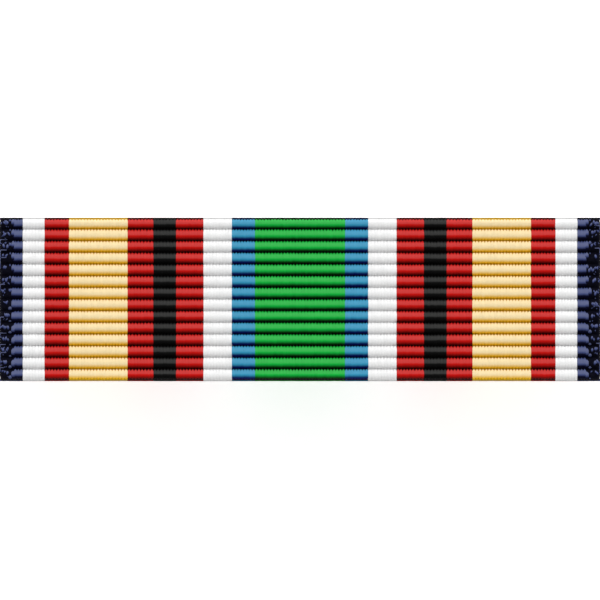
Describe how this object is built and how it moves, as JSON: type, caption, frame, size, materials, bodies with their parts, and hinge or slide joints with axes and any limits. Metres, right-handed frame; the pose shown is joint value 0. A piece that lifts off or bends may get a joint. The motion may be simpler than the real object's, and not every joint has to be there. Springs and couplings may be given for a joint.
{
  "type": "ribbon bar",
  "caption": "Service ribbon bar: striped, cross-ribbed ribbon wrapped round a thin brass bar, with a pin fastening behind.",
  "frame": {"origin": "under the middle of the bar, in the plane that the pin's two lugs stand on when the bar lies face up", "axes": "+X along the bar to the right as worn, +Y up as worn, +Z out of the ribbon's face"},
  "size_m": [0.035, 0.0096, 0.0055],
  "materials": {
    "ribbon_cloth": "satin",
    "bar_brass": "satin",
    "pin_steel": "satin",
    "yarn_navy": "satin",
    "yarn_white": "satin",
    "yarn_red": "satin",
    "yarn_gold": "satin",
    "yarn_black": "satin",
    "yarn_light_blue": "satin",
    "yarn_green": "satin"
  },
  "bodies": {
    "root": {"ribbon": "ribbon_cloth", "backing_bar": "bar_brass", "pin_back": "pin_steel"}
  },
  "joints": []
}
